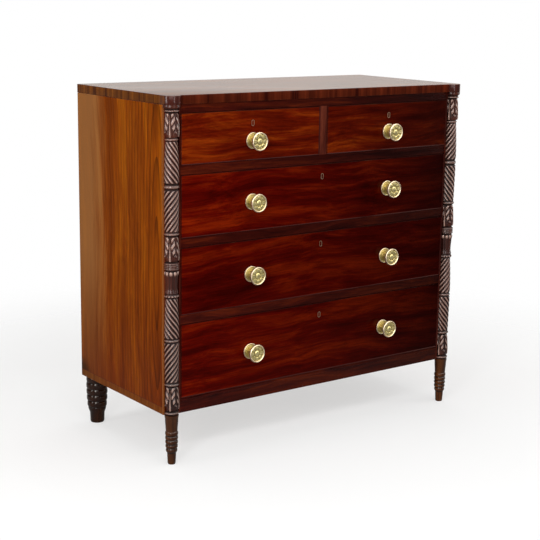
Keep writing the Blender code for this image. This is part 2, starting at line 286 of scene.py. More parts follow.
# Crossbanded veneer: short upright stripes of light and dark
crossBand = {"noise": {"Detail": 3.0, "Roughness": 0.7}, "darkAt": 0.38, "middleAt": 0.5, "lightAt": 0.66}


def buildCrossBandGroup():
    inputs = {"Run": "Float", "Scale": "Float", "Dark": "Color", "Light": "Color"}
    group, start, end = newGroup("crossBand", inputs, {"Colour": "Color"})
    along = addNode(group, "ShaderNodeCombineXYZ")
    feed(group, along.inputs[0], start["Run"])
    stripes = noiseNode(group, along.outputs[0], Scale=start["Scale"], **crossBand["noise"])["Fac"]
    lower = rangeNode(group, stripes, crossBand["darkAt"], crossBand["middleAt"], 0.0, 0.5)
    upper = rangeNode(group, stripes, crossBand["middleAt"], crossBand["lightAt"], 0.0, 0.5)
    colour = mixColour(group, plus(group, lower, upper), start["Dark"], start["Light"])
    feed(group, end["Colour"], colour)
    return group


# Parts the carving's relief into what lies deep and what stands proud, for painted shade in the first and a
# painted highlight on the second
def buildReliefGroup():
    group, start, end = newGroup("reliefMasks", {"Relief": "Float"}, {"Groove": "Float", "Crest": "Float"})
    proud = times(group, start["Relief"], -1.0)
    feed(group, end["Groove"], mathNode(group, "MAXIMUM", start["Relief"], 0.0))
    feed(group, end["Crest"], mathNode(group, "MAXIMUM", proud, 0.0))
    return group


woodGroup = buildWoodGroup()
crossBandGroup = buildCrossBandGroup()
reliefGroup = buildReliefGroup()


def reliefMasks(tree):
    relief = addNode(tree, "ShaderNodeAttribute", attribute_name="recess").outputs["Fac"]
    return placeGroup(tree, reliefGroup, {"Relief": relief})


def bandColour(tree, run, band):
    values = {"Run": run, "Scale": band["scale"], "Dark": band["dark"], "Light": band["light"]}
    return placeGroup(tree, crossBandGroup, values)["Colour"]


alongX = (0.0, 0.0, 0.0)
alongY = (0.0, 0.0, math.radians(-90))
alongZ = (0.0, math.radians(90), 0.0)

# Colours, polish and figure of each wood; where set, painted light shades it brighter at its left end and
# darker at its right
woods = {
    "shortFront": {
        "turn": alongX, "figure": 1.1, "flame": 0.3, "rough": 0.2, "coat": 0.0, "specular": 0.07,
        "dark": (0.026, 0.0010, 0.0002), "middle": (0.060, 0.0036, 0.0004), "light": (0.130, 0.017, 0.0010),
        "tint": (1.0, 0.3, 0.2)},
    "longFront": {
        "turn": alongX, "figure": 1.1, "flame": 0.3, "rough": 0.2, "coat": 0.0, "specular": 0.06,
        "dark": (0.026, 0.0003, 0.0001), "middle": (0.058, 0.0014, 0.0002), "light": (0.120, 0.0075, 0.0005),
        "tint": (1.0, 0.25, 0.15)},
    "side": {
        "turn": alongZ, "figure": 0.8, "flame": 0.12, "rough": 0.28, "coat": 0.0, "specular": 0.05,
        "dark": (0.155, 0.028, 0.0004), "middle": (0.215, 0.042, 0.0005), "light": (0.31, 0.076, 0.0012),
        "tint": (1.0, 0.6, 0.3)},
    "rail": {
        "turn": alongX, "figure": 0.8, "flame": 0.2, "rough": 0.22, "coat": 0.0, "specular": 0.18,
        "dark": (0.015, 0.0010, 0.0006), "middle": (0.036, 0.0030, 0.0013), "light": (0.085, 0.010, 0.002),
        "tint": (1.0, 0.5, 0.45), "paintedLightLeftToRight": (1.4, 0.4)},
    "divider": {
        "turn": alongZ, "figure": 0.6, "flame": 0.1, "rough": 0.22, "coat": 0.0, "specular": 0.2,
        "dark": (0.026, 0.0035, 0.0022), "middle": (0.070, 0.011, 0.006), "light": (0.14, 0.028, 0.013),
        "tint": (1.0, 0.6, 0.5)},
    "column": {
        "turn": alongZ, "figure": 0.8, "flame": 0.2, "rough": 0.3, "coat": 0.5, "specular": 0.3,
        "dark": (0.018, 0.0024, 0.0012), "middle": (0.045, 0.0075, 0.0034), "light": (0.085, 0.018, 0.008),
        "tint": (1.0, 0.86, 0.8)},
    "leg": {
        "turn": alongZ, "figure": 0.8, "flame": 0.3, "rough": 0.2, "coat": 0.35, "specular": 0.15,
        "dark": (0.032, 0.0085, 0.0018), "middle": (0.066, 0.0190, 0.0040), "light": (0.125, 0.036, 0.006),
        "tint": (1.0, 0.8, 0.7)},
    "foot": {
        "turn": alongZ, "figure": 0.8, "flame": 0.3, "rough": 0.18, "coat": 0.4, "specular": 0.2,
        "dark": (0.010, 0.0020, 0.0007), "middle": (0.022, 0.0055, 0.0015), "light": (0.040, 0.011, 0.002),
        "tint": (1.0, 0.85, 0.75)},
    "topBoard": {
        "turn": alongX, "figure": 1.2, "flame": 0.4, "rough": 0.17, "coat": 0.1, "specular": 0.34,
        "dark": (0.09, 0.022, 0.006), "middle": (0.17, 0.050, 0.014), "light": (0.27, 0.09, 0.03),
        "tint": (1.0, 1.0, 1.0)},
    "backBoard": {
        "turn": alongZ, "figure": 1.0, "flame": 0.25, "rough": 0.55, "coat": 0.0, "specular": 0.2,
        "dark": (0.16, 0.070, 0.028), "middle": (0.25, 0.120, 0.050), "light": (0.35, 0.185, 0.085),
        "tint": (1.0, 0.9, 0.8)},
    "lining": {
        "turn": alongX, "figure": 0.6, "flame": 0.15, "rough": 0.6, "coat": 0.0, "specular": 0.3,
        "dark": (0.27, 0.135, 0.052), "middle": (0.42, 0.215, 0.085), "light": (0.56, 0.315, 0.130),
        "tint": (1.0, 1.0, 1.0)},
}
coatRoughness = 0.08


def woodMaterial(name, kind, turn=None, shift=(0.0, 0.0, 0.0), paintedLightLeftToRight=None):
    look = woods[kind]
    material, tree, shader = newMaterial(name)
    place = addNode(tree, "ShaderNodeTexCoord").outputs["Object"]
    turned = mappingNode(tree, place, Rotation=turn or look["turn"], Location=shift)
    wood = placeGroup(tree, woodGroup, {
        "Vector": turned, "Figure": look["figure"], "Flame Share": look["flame"],
        "Roughness": look["rough"], "Dark": look["dark"], "Middle": look["middle"], "Light": look["light"]})
    colour = wood["Colour"]
    # Painted light: where set, the colour falls off from the left end to the right
    ends = paintedLightLeftToRight or look.get("paintedLightLeftToRight")
    if ends:
        across = separate(tree, place)["X"]
        shade = rangeNode(tree, across, -chest["halfWidth"], chest["halfWidth"], *ends)
        colour = scaledColour(tree, colour, shade)
    feedSockets(tree, shader, {
        "Base Color": colour, "Roughness": wood["Roughness"], "Normal": wood["Normal"],
        "Specular IOR Level": look["specular"], "Specular Tint": look["tint"],
        "Coat Weight": look["coat"], "Coat Roughness": coatRoughness})
    return SimpleNamespace(material=material, tree=tree, shader=shader, place=place, colour=colour,
                           streak=wood["Streak"], flame=wood["Flame"])


def paintBase(wood, colour):
    feed(wood.tree, wood.shader.inputs["Base Color"], colour)
    return wood.material


# Drawer fronts: flame figure, with the cocked bead round each one darker than the field
drawerBead = {"proud": 0.0004, "share": 0.85, "colour": (0.034, 0.0085, 0.0070)}


def drawerFrontMaterial(name, kind, shift, paintedLightLeftToRight):
    wood = woodMaterial(name, kind, shift=shift, paintedLightLeftToRight=paintedLightLeftToRight)
    ahead = separate(wood.tree, wood.place)["Y"]
    bead = mathNode(wood.tree, "LESS_THAN", ahead, chest["frontY"] - drawerBead["proud"])
    share = times(wood.tree, bead, drawerBead["share"])
    return paintBase(wood, mixColour(wood.tree, share, wood.colour, drawerBead["colour"]))


# Edge of the top: crossbanded, redder in front than at the sides, and polished brighter on the ears
topEdge = {
    "earWidth": 0.047, "earDepth": 0.0235, "earCoat": 0.75, "sideFacing": 0.98, "sideRun": 1.3,
    "coat": {"Coat Roughness": 0.22, "Coat IOR": 1.8, "Coat Tint": (1.0, 0.86, 0.82)},
    "front": {"dark": (0.030, 0.0026, 0.0010), "light": (0.150, 0.022, 0.006), "scale": 32.0},
    "side": {"dark": (0.070, 0.015, 0.003), "light": (0.300, 0.090, 0.010), "scale": 38.0},
}


def topEdgeMaterial():
    wood = woodMaterial("topEdgeVeneer", "rail")
    tree, xyz = wood.tree, separate(wood.tree, wood.place)
    outer = chest["halfWidth"] - topEdge["earWidth"]
    ear = mathNode(tree, "GREATER_THAN", mathNode(tree, "ABSOLUTE", xyz["X"]), outer)
    ahead = mathNode(tree, "LESS_THAN", xyz["Y"], chest["frontY"] + topEdge["earDepth"])
    coat = times(tree, times(tree, ear, ahead), topEdge["earCoat"])
    feedSockets(tree, wood.shader, {"Coat Weight": coat, **topEdge["coat"]})
    normal = addNode(tree, "ShaderNodeNewGeometry").outputs["Normal"]
    sideways = mathNode(tree, "ABSOLUTE", separate(tree, normal)["X"])
    sideEdge = mathNode(tree, "GREATER_THAN", sideways, topEdge["sideFacing"])
    run = plus(tree, xyz["X"], times(tree, xyz["Y"], topEdge["sideRun"]))
    front, side = bandColour(tree, run, topEdge["front"]), bandColour(tree, run, topEdge["side"])
    return paintBase(wood, mixColour(tree, sideEdge, front, side))


# Sides: golden boards with arched heart grain near the front, bleached behind with a painted glare of window
# light on the polish, darker low down
sideBoard = {
    "archAt": (chest["frontY"] + 0.04, 0.52), "archStretch": 0.09,
    "archShare": 0.8, "archReach": (0.10, 0.26),
    "archWave": {"Scale": 22.0, "Distortion": 1.6, "Detail": 2.0, "Detail Scale": 1.0},
    "archStops": [(0.0, 1.2), (0.7, 0.95), (0.95, 0.45)],
    "bleachedAndGlare": (0.31, 0.132, 0.040), "bleachGlareShare": 0.72,
    "bleachGlareReach": (chest["frontY"] + 0.30, chest["frontY"] + 0.38),
    "bleachGlareWander": 0.25, "bleachGlareRise": 0.35, "bleachGlareLow": 0.25,
    "lowShade": (0.60, 0.40, 0.25), "lowRise": 0.5, "lowWander": 0.2,
    "cornerDark": (0.030, 0.011, 0.002), "cornerDarkShare": 0.85, "cornerDarkReach": (0.03, 0.075),
    "band": {"dark": (0.10, 0.026, 0.003), "light": (0.23, 0.070, 0.010), "scale": 60.0},
    "bandHeight": 0.02, "bandShare": 0.7,
    "line": (0.10, 0.018, 0.008), "lineAt": 0.0205, "lineHalf": 0.0009,
}


def heartGrain(wood, xyz, colour):
    tree = wood.tree
    archY, archZ = sideBoard["archAt"]
    stretch = sideBoard["archStretch"]
    start = (0.0, -archY, -archZ * stretch)
    centred = mappingNode(tree, wood.place, Scale=(0.0, 1.0, stretch), Location=start)
    arches = addNode(tree, "ShaderNodeTexWave", wave_type="RINGS", rings_direction="SPHERICAL",
                     wave_profile="SAW")
    feedSockets(tree, arches, {"Vector": centred, **sideBoard["archWave"]})
    apart = mathNode(tree, "ABSOLUTE", mathNode(tree, "SUBTRACT", xyz["Y"], archY))
    near = rangeNode(tree, apart, *sideBoard["archReach"], sideBoard["archShare"], 0.0, "SMOOTHSTEP")
    shade = greyRamp(tree, arches.outputs["Fac"], sideBoard["archStops"])
    return mixColour(tree, near, colour, mixColour(tree, 1.0, colour, shade, "MULTIPLY"))


# Paler towards the back: bleaching in the wood together with a painted glare of window light on the polish
def bleachedAndGlareBehind(wood, xyz, colour):
    tree = wood.tree
    wander = times(tree, mathNode(tree, "SUBTRACT", wood.streak, 0.5), sideBoard["bleachGlareWander"])
    back = rangeNode(tree, plus(tree, xyz["Y"], wander), *sideBoard["bleachGlareReach"])
    low = chest["underside"]
    rise = rangeNode(tree, xyz["Z"], low, low + sideBoard["bleachGlareRise"], sideBoard["bleachGlareLow"])
    share = times(tree, times(tree, back, rise), sideBoard["bleachGlareShare"])
    return mixColour(tree, share, colour, sideBoard["bleachedAndGlare"])


def darkLowDown(wood, xyz, colour):
    tree = wood.tree
    height = plus(tree, xyz["Z"], times(tree, wood.flame, sideBoard["lowWander"]))
    rise = rangeNode(tree, height, chest["underside"], chest["underside"] + sideBoard["lowRise"])
    low = mixColour(tree, 1.0, colour, sideBoard["lowShade"], "MULTIPLY")
    return mixColour(tree, rise, low, colour)


# Darker round the corner above the rear foot
def darkCorner(wood, xyz, colour):
    tree = wood.tree
    flat = addNode(tree, "ShaderNodeCombineXYZ")
    feedSockets(tree, flat, {"Y": xyz["Y"], "Z": xyz["Z"]})
    corner = (0.0, chest["backY"], chest["underside"])
    away = vectorNode(tree, "DISTANCE", "Value", flat.outputs[0], corner)
    share = rangeNode(tree, away, *sideBoard["cornerDarkReach"], sideBoard["cornerDarkShare"], 0.0, "SMOOTHSTEP")
    return mixColour(tree, share, colour, sideBoard["cornerDark"])


def lowerCrossBand(wood, xyz, colour):
    tree = wood.tree
    inBand = mathNode(tree, "LESS_THAN", xyz["Z"], chest["underside"] + sideBoard["bandHeight"])
    share = times(tree, inBand, sideBoard["bandShare"])
    colour = mixColour(tree, share, colour, bandColour(tree, xyz["Y"], sideBoard["band"]))
    level = chest["underside"] + sideBoard["lineAt"]
    onLine = mathNode(tree, "COMPARE", xyz["Z"], level, sideBoard["lineHalf"])
    return mixColour(tree, onLine, colour, sideBoard["line"])


def sideMaterial(name, shift):
    wood = woodMaterial(name, "side", shift=shift)
    xyz = separate(wood.tree, wood.place)
    colour = wood.colour
    for layer in (heartGrain, bleachedAndGlareBehind, darkLowDown, darkCorner, lowerCrossBand):
        colour = layer(wood, xyz, colour)
    return paintBase(wood, colour)


# Corner posts: dark stiles in front, golden like the sides where they face outwards
cornerPost = {"outside": 0.004, "dark": (0.15, 0.038, 0.006), "light": (0.30, 0.095, 0.022)}


def postMaterial():
    wood = woodMaterial("postMahogany", "divider")
    tree = wood.tree
    outwards = mathNode(tree, "ABSOLUTE", separate(tree, wood.place)["X"])
    outside = mathNode(tree, "GREATER_THAN", outwards, chest["halfWidth"] - cornerPost["outside"])
    golden = mixColour(tree, wood.streak, cornerPost["dark"], cornerPost["light"])
    return paintBase(wood, mixColour(tree, outside, wood.colour, golden))


# Carving: painted shade in the grooves, crests rubbed pale with a painted highlight, polished only where it
# faces up and out
carvedFinish = {
    "wornAndHighlight": (0.46, 0.28, 0.22), "groove": (0.0030, 0.0008, 0.0006), "grooveShare": 0.9,
    "crestPower": 1.5, "wornHighlightSwing": 0.4, "wornHighlightLeast": 0.6, "undersideAt": -0.35,
    "dullSwing": 0.45, "roughLeast": 0.28, "polishSwing": 0.75, "polishLeast": 0.25,
    "coat": {"Coat Roughness": 0.24, "Coat IOR": 1.8},
}


def columnMaterial():
    wood = woodMaterial("carvedMahogany", "column")
    tree = wood.tree
    masks = reliefMasks(tree)
    core = mathNode(tree, "POWER", masks["Crest"], carvedFinish["crestPower"])
    uneven = times(tree, wood.streak, carvedFinish["wornHighlightSwing"])
    wornAndHighlight = times(tree, core, plus(tree, uneven, carvedFinish["wornHighlightLeast"]))
    colour = mixColour(tree, wornAndHighlight, wood.colour, carvedFinish["wornAndHighlight"])
    grooveShadeAmount = times(tree, masks["Groove"], carvedFinish["grooveShare"])
    colour = mixColour(tree, grooveShadeAmount, colour, carvedFinish["groove"])

    normal = addNode(tree, "ShaderNodeNewGeometry").outputs["Normal"]
    under = rangeNode(tree, separate(tree, normal)["Z"], 0.0, carvedFinish["undersideAt"])
    dull = mathNode(tree, "MAXIMUM", under, masks["Groove"])
    rough = plus(tree, times(tree, dull, carvedFinish["dullSwing"]), carvedFinish["roughLeast"])
    polish = times(tree, masks["Crest"], carvedFinish["polishSwing"])
    polish = plus(tree, polish, carvedFinish["polishLeast"])
    coat = times(tree, polish, rangeNode(tree, dull, 0.0, 1.0, 1.0, 0.0))
    feedSockets(tree, wood.shader, {"Roughness": rough, "Coat Weight": coat, **carvedFinish["coat"]})
    return paintBase(wood, colour)


# Turned legs and feet: painted shade in the grooves between the rings
def turnedMaterial(name, kind):
    wood = woodMaterial(name, kind)
    grooveShadeAmount = times(wood.tree, reliefMasks(wood.tree)["Groove"], carvedFinish["grooveShare"])
    return paintBase(wood, mixColour(wood.tree, grooveShadeAmount, wood.colour, carvedFinish["groove"]))


# Old brass: cloudy, rubbed bright with a painted highlight on the rims, painted shade in the hollows
brassFinish = {
    "bright": {"dark": (0.62, 0.52, 0.21), "light": (0.86, 0.75, 0.40)},
    "dull": {"dark": (0.42, 0.30, 0.20), "light": (0.62, 0.46, 0.32)},
    "rubbedAndHighlight": (0.92, 0.74, 0.57), "rubbedHighlightShare": 0.7, "hollow": (0.26, 0.18, 0.03), "hollowShare": 0.9,
    "cloud": {"Scale": 160.0, "Detail": 4.0, "Roughness": 0.6},
    "roughLeast": 0.28, "roughHollow": 0.2, "roughCloud": 0.25,
}


def brassMaterial(name, kind):
    material, tree, shader = newMaterial(name)
    masks = reliefMasks(tree)
    place = addNode(tree, "ShaderNodeTexCoord").outputs["Object"]
    cloud = noiseNode(tree, place, **brassFinish["cloud"])["Fac"]
    colour = mixColour(tree, cloud, brassFinish[kind]["dark"], brassFinish[kind]["light"])
    rubbedAndHighlight = times(tree, masks["Crest"], brassFinish["rubbedHighlightShare"])
    colour = mixColour(tree, rubbedAndHighlight, colour, brassFinish["rubbedAndHighlight"])
    hollow = times(tree, masks["Groove"], brassFinish["hollowShare"])
    colour = mixColour(tree, hollow, colour, brassFinish["hollow"])
    rough = plus(tree, times(tree, masks["Groove"], brassFinish["roughHollow"]),
                 times(tree, cloud, brassFinish["roughCloud"]))
    rough = plus(tree, rough, brassFinish["roughLeast"])
    feedSockets(tree, shader, {"Base Color": colour, "Roughness": rough, "Metallic": 1.0})
    return material


# The back reads as upright boards, each a little lighter or darker, with a dark joint between
backBoards = {
    "width": 0.168, "swing": 0.35, "least": 0.72, "jointShare": 0.006, "joint": (0.02, 0.008, 0.004),
}


def backMaterial():
    wood = woodMaterial("backBoards", "backBoard")
    tree = wood.tree
    boards = mathNode(tree, "DIVIDE", separate(tree, wood.place)["X"], backBoards["width"])
    number = mathNode(tree, "FLOOR", boards)
    chance = addNode(tree, "ShaderNodeTexWhiteNoise", noise_dimensions="1D")
    feed(tree, chance.inputs["W"], number)
    shade = times(tree, chance.outputs["Value"], backBoards["swing"])
    colour = scaledColour(tree, wood.colour, plus(tree, shade, backBoards["least"]))
    inBoard = mathNode(tree, "SUBTRACT", boards, number)
    edge = mathNode(tree, "MINIMUM", inBoard, mathNode(tree, "SUBTRACT", 1.0, inBoard))
    joint = mathNode(tree, "LESS_THAN", edge, backBoards["jointShare"])
    return paintBase(wood, mixColour(tree, joint, colour, backBoards["joint"]))


def putMaterial(node, material):
    mesh = nodes[node].data
    for index in range(len(mesh.materials)):
        mesh.materials[index] = material
    if not mesh.materials:
        mesh.materials.append(material)


brass = brassMaterial("oldBrass", "bright")
dullBrass = brassMaterial("dullBrass", "dull")
carved = columnMaterial()
railWood = woodMaterial("railMahogany", "rail").material
postWood = postMaterial()
footWood = turnedMaterial("footMahogany", "foot")
legWood = turnedMaterial("legMahogany", "leg")
liningAcross = woodMaterial("liningAcross", "lining").material
liningDeep = woodMaterial("liningDeep", "lining", turn=alongY).material

putMaterial("side_left", sideMaterial("sideVeneerLeft", (0.0, 0.0, 0.0)))
putMaterial("side_right", sideMaterial("sideVeneerRight", (0.7, 1.3, 0.4)))
putMaterial("back", backMaterial())
putMaterial("divider", woodMaterial("dividerMahogany", "divider").material)
for nodeName in nodes:
    if nodeName.startswith("rail_"):
        putMaterial(nodeName, railWood)
    elif nodeName.startswith("corner_post"):
        putMaterial(nodeName, postWood)
    elif nodeName.startswith(("dust_board", "bottom_board")):
        putMaterial(nodeName, liningDeep)
    elif nodeName.endswith("_escutcheon"):
        putMaterial(nodeName, dullBrass)
    elif nodeName.startswith("drawer") and nodeName.endswith(("_side_left", "_side_right")):
        putMaterial(nodeName, liningDeep)
    elif nodeName.startswith("drawer") and nodeName.endswith(("_back", "_bottom")):
        putMaterial(nodeName, liningAcross)

# Each front is its own cut of veneer, shaded by painted light from its left end to its right
frontVeneers = {
    "drawer_top_left": {"kind": "shortFront", "shift": (0.0, 0.3, 0.0), "paintedLightLeftToRight": (1.95, 1.3)},
    "drawer_top_right": {"kind": "shortFront", "shift": (1.7, 0.9, 0.35), "paintedLightLeftToRight": (2.6, 0.45)},
    "drawer_second": {"kind": "longFront", "shift": (3.1, 0.1, 0.2), "paintedLightLeftToRight": (1.75, 0.14)},
    "drawer_third": {"kind": "longFront", "shift": (4.6, 1.2, 0.75), "paintedLightLeftToRight": (1.4, 0.3)},
    "drawer_fourth": {"kind": "longFront", "shift": (6.4, 0.4, 0.1), "paintedLightLeftToRight": (1.6, 0.18)},
}
for label, veneer in frontVeneers.items():
    putMaterial(label + "_front", drawerFrontMaterial("flameVeneer_" + label, **veneer))
print("finishes ready")

# Carved columns with their turned legs, rolled up from a fine flat grid; shares are of the column's
# radius, or of a section's height counted downwards
column = {
    "around": 128, "rows": 760, "seam": 45.0, "radius": 0.0203, "inset": 0.0235, "setback": 0.004,
    "flat": 0.009, "postWidth": 0.0495, "stileWidth": 0.0048, "mergeWithin": 0.00001, "hair": 0.0000001,
    "smooth": 50, "cornerDip": 0.0016,
}

# Sections from the top down; a height of 0 is a rope twist, and the twists share what is left
sectionHeights = [
    ("cap", 0.0108), ("ring", 0.009), ("leaf", 0.0655), ("slim", 0.0085), ("swell", 0.0), ("wide", 0.0175),
    ("taper", 0.0), ("ring", 0.0115), ("leaf", 0.0685), ("reed", 0.0235), ("tongue", 0.0635),
    ("scroll", 0.0115), ("swell", 0.0), ("ring", 0.0115), ("taper", 0.0), ("ring", 0.0115),
    ("leaf", 0.0685), ("base", 0.0114)]


def columnSections():
    heights = [height for kind, height in sectionHeights]
    twistHeight = (chest["caseTop"] - chest["underside"] - sum(heights)) / heights.count(0.0)
    found = []
    level = chest["caseTop"]
    for kind, height in sectionHeights:
        height = height or twistHeight
        found.append((kind, level, level - height))
        level -= height
    return found


sections = columnSections()

turnedLeg = {
    "neckShares": [(0.0, 0.97), (0.1, 0.89), (0.32, 0.80)], "ringSteps": 8, "dropShare": 0.115,
    "grooveShares": (0.335, 0.425, 0.51, 0.595, 0.675, 0.76), "grooveCoreShare": 0.005,
    "grooveReachShare": 0.02, "crestShares": (0.875, 0.86, 0.85, 0.83, 0.775), "dropPower": 3,
    "toeShares": [(0.76, 0.64), (0.80, 0.60), (0.97, 0.55), (1.0, 0.48)],
}


# Rings of a turned leg or foot: each one is full in the middle and falls off to the grooves at its ends
def ringProfile(turned):
    points = list(turned["neckShares"])
    grooves = turned["grooveShares"]
    for crest, start, end in zip(turned["crestShares"], grooves, grooves[1:]):
        for step in range(turned["ringSteps"]):
            along = step / turned["ringSteps"]
            radius = crest - turned["dropShare"] * abs(along * 2 - 1) ** turned["dropPower"]
            points.append((start + (end - start) * along, radius))
    return points + list(turned["toeShares"])


def grooveShade(turned, down):
    nearest = min(abs(down - groove) for groove in turned["grooveShares"][1:])
    return 1 - smoothStep(turned["grooveCoreShare"], turned["grooveReachShare"], nearest)


legProfile = ringProfile(turnedLeg)


def legSurface(height):
    down = 1 - height / chest["underside"]
    for (highShare, highRadius), (lowShare, lowRadius) in zip(legProfile, legProfile[1:]):
        if highShare <= down <= lowShare:
            radius = highRadius + (lowRadius - highRadius) * smoothStep(highShare, lowShare, down)
            return radius, grooveShade(turnedLeg, down)
    return legProfile[-1][1], 0.0


capCut = {"radiusShare": 1.14, "drawInShare": 0.22, "fromShare": 0.55, "shadeFromShare": 0.8}


def capSurface(down):
    radius = capCut["radiusShare"] - capCut["drawInShare"] * smoothStep(capCut["fromShare"], 1.0, down)
    return radius, smoothStep(capCut["shadeFromShare"], 1.0, down)


# Half-round mouldings with painted shade at their edges and a painted highlight on their crests; the scroll
# ring is cut into lobes
moulding = {
    "roundShares": (0.22, 0.78), "slimRoundShares": (0.15, 0.85), "slimRadiusShare": 0.86,
    "bodyShare": 0.86, "groovePower": 2, "crestPower": 6, "crestShade": 0.7,
    "lobes": 14, "lobeShare": 0.45, "lobeShade": 1.3, "lobeRubHighlight": 0.2, "lobePower": 3,
}


def mouldingSurface(kind, angle, down):
    crown = moulding["slimRadiusShare"] if kind == "slim" else 1.0
    low, high = moulding["slimRoundShares"] if kind == "slim" else moulding["roundShares"]
    body = crown * moulding["bodyShare"]
    across = (down - low) / (high - low) * 2 - 1
    share = math.sqrt(max(0.0, 1 - across * across))
    lift = share * (crown - body)
    groove = (1 - share) ** moulding["groovePower"]
    shade = groove - moulding["crestShade"] * share ** moulding["crestPower"]
    if kind == "scroll":
        lobe = abs(math.sin(angle * moulding["lobes"] / 2))
        lift *= 1 - moulding["lobeShare"] * (1 - lobe)
        between = (1 - lobe) ** moulding["lobePower"]
        shade = (moulding["lobeShade"] * shade - moulding["lobeRubHighlight"]) * lobe + between
    return body + lift, shade


# Leaf sections: slanting leaflets on both sides of a vein, with a plain stem, an edge strip and a scroll
leaf = {
    "spacing": 110.0, "facing": 225.0, "depth": 0.0034, "cutRadiusShare": 0.9,
    "leafletPitch": 0.0195, "leafletSlope": 1.4, "leafletStart": 0.002, "leafletRound": 0.6,
    "firstShare": 0.12, "edgeShares": (0.76, 0.88),
    "stemLeast": 0.0022, "stemWidth": 0.011, "stemShare": 0.52, "stemEdge": 0.0024,
    "stemRise": 0.0012, "stemRiseEdge": 0.002,
    "veinWidth": 0.0019, "veinSpread": 1.5, "veinHeight": 0.0034, "veinShares": (0.86, 0.96),
    "stripWidth": 0.0012, "stripShares": (0.16, 0.24), "stripDepthShare": 0.8,
    "scrollShare": 0.22, "scrollRadius": 0.0048, "scrollRound": 0.5,
    "groundShares": (0.12, 0.34), "groundShade": 1.6, "crestShares": (0.65, 1.0),
    "topRadiusShare": 0.735, "swellShare": 0.09, "swellToShare": 0.78,
    "neckShare": 0.08, "neckFromShare": 0.84, "endShares": (0.05, 0.04), "endDip": 0.0012,
}


def leafCarving(angle, up, height):
    spacing = math.radians(leaf["spacing"])
    radius = column["radius"] * leaf["cutRadiusShare"]
    offset = (angle - math.radians(leaf["facing"]) + spacing / 2) % spacing - spacing / 2
    across = abs(offset) * radius
    halfLeaf = spacing * radius / 2
    fromEdge = halfLeaf - across

    narrowing = max(0.0, leaf["stemShare"] - up) / leaf["stemShare"]
    stem = leaf["stemLeast"] + leaf["stemWidth"] * narrowing
    lobes = (up * height - leaf["leafletSlope"] * across - leaf["leafletStart"]) / leaf["leafletPitch"]
    rounded = math.sin(math.pi * (lobes % 1.0)) ** leaf["leafletRound"]
    inside = smoothStep(stem, stem + leaf["stemEdge"], across) * smoothStep(0.0, leaf["firstShare"], lobes)
    startFade, endFade = leaf["edgeShares"]
    edge = 1 - smoothStep(halfLeaf * startFade, halfLeaf * endFade, across)
    lift = leaf["depth"] * rounded * inside * edge

    veinHalf = leaf["veinWidth"] * (leaf["veinSpread"] - up)
    vein = math.exp(-(across / veinHalf) ** 2) * (1 - smoothStep(*leaf["veinShares"], up))
    lift = max(lift, leaf["veinHeight"] * vein)
    lift += leaf["stemRise"] * (1 - smoothStep(stem, stem + leaf["stemRiseEdge"], across)) * (1 - up)
    strip = math.exp(-(fromEdge / leaf["stripWidth"]) ** 2) * smoothStep(*leaf["stripShares"], up)
    away = math.hypot(fromEdge, (up - leaf["scrollShare"]) * height)
    scroll = max(0.0, 1 - away / leaf["scrollRadius"]) ** leaf["scrollRound"]
    lift = max(lift, leaf["depth"] * leaf["stripDepthShare"] * strip, leaf["depth"] * scroll)

    high = min(1.0, lift / leaf["depth"])
    ground = (1 - min(1.0, high * leaf["groundShade"])) * smoothStep(*leaf["groundShares"], up)
    return lift, ground - smoothStep(*leaf["crestShares"], high)


def leafSurface(angle, down, height):
    swell = leaf["swellShare"] * smoothStep(0.0, leaf["swellToShare"], down)
    neck = leaf["neckShare"] * smoothStep(leaf["neckFromShare"], 1.0, down)
    topEnd, lowEnd = leaf["endShares"]
    ends = smoothStep(0.0, topEnd, down) * smoothStep(0.0, lowEnd, 1 - down)
    lift, shade = leafCarving(angle, 1 - down, height)
    raised = (lift * ends - leaf["endDip"] * (1 - ends)) / column["radius"]
    return leaf["topRadiusShare"] + swell - neck + raised, shade * ends + 1 - ends


reed = {
    "fromShare": 0.12, "toShare": 0.9, "pitchShare": 0.78, "count": 4, "endShare": 0.88, "endShade": 0.9,
    "bodyShare": 0.95, "riseShare": 0.06, "round": 0.7, "groovePower": 2, "crestPower": 4, "crestShade": 0.6,
}


def reedSurface(down):
    if down < reed["fromShare"] or down > reed["toShare"]:
        return reed["endShare"], reed["endShade"]
    reeds = abs(math.sin((down - reed["fromShare"]) / reed["pitchShare"] * math.pi * reed["count"]))
    groove = (1 - reeds) ** reed["groovePower"]
    shade = groove - reed["crestShade"] * reeds ** reed["crestPower"]
    return reed["bodyShare"] + reed["riseShare"] * reeds ** reed["round"], shade


# Fluted section of upright tongues with raised tips; painted shade between the tongues, a painted highlight
# on the rubbed tips
tongue = {
    "count": 10, "tipShare": 0.03, "tipCurveShare": 0.09, "tipPower": 2.5, "tipSoftShares": (0.015, 0.02),
    "topRadiusShare": 0.80, "waistShare": 0.09, "waistShares": (0.15, 0.7), "flareShare": 0.12,
    "flareShares": (0.78, 1.0), "footShare": 0.04, "flat": 0.98, "depth": 0.0018, "tipDepth": 0.0018,
    "tipFadeShares": (0.10, 0.26), "sideShades": (0.7, 1.0), "sideShade": 0.9, "crestShades": (0.45, 0.85),
    "crestShade": 1.2,
}


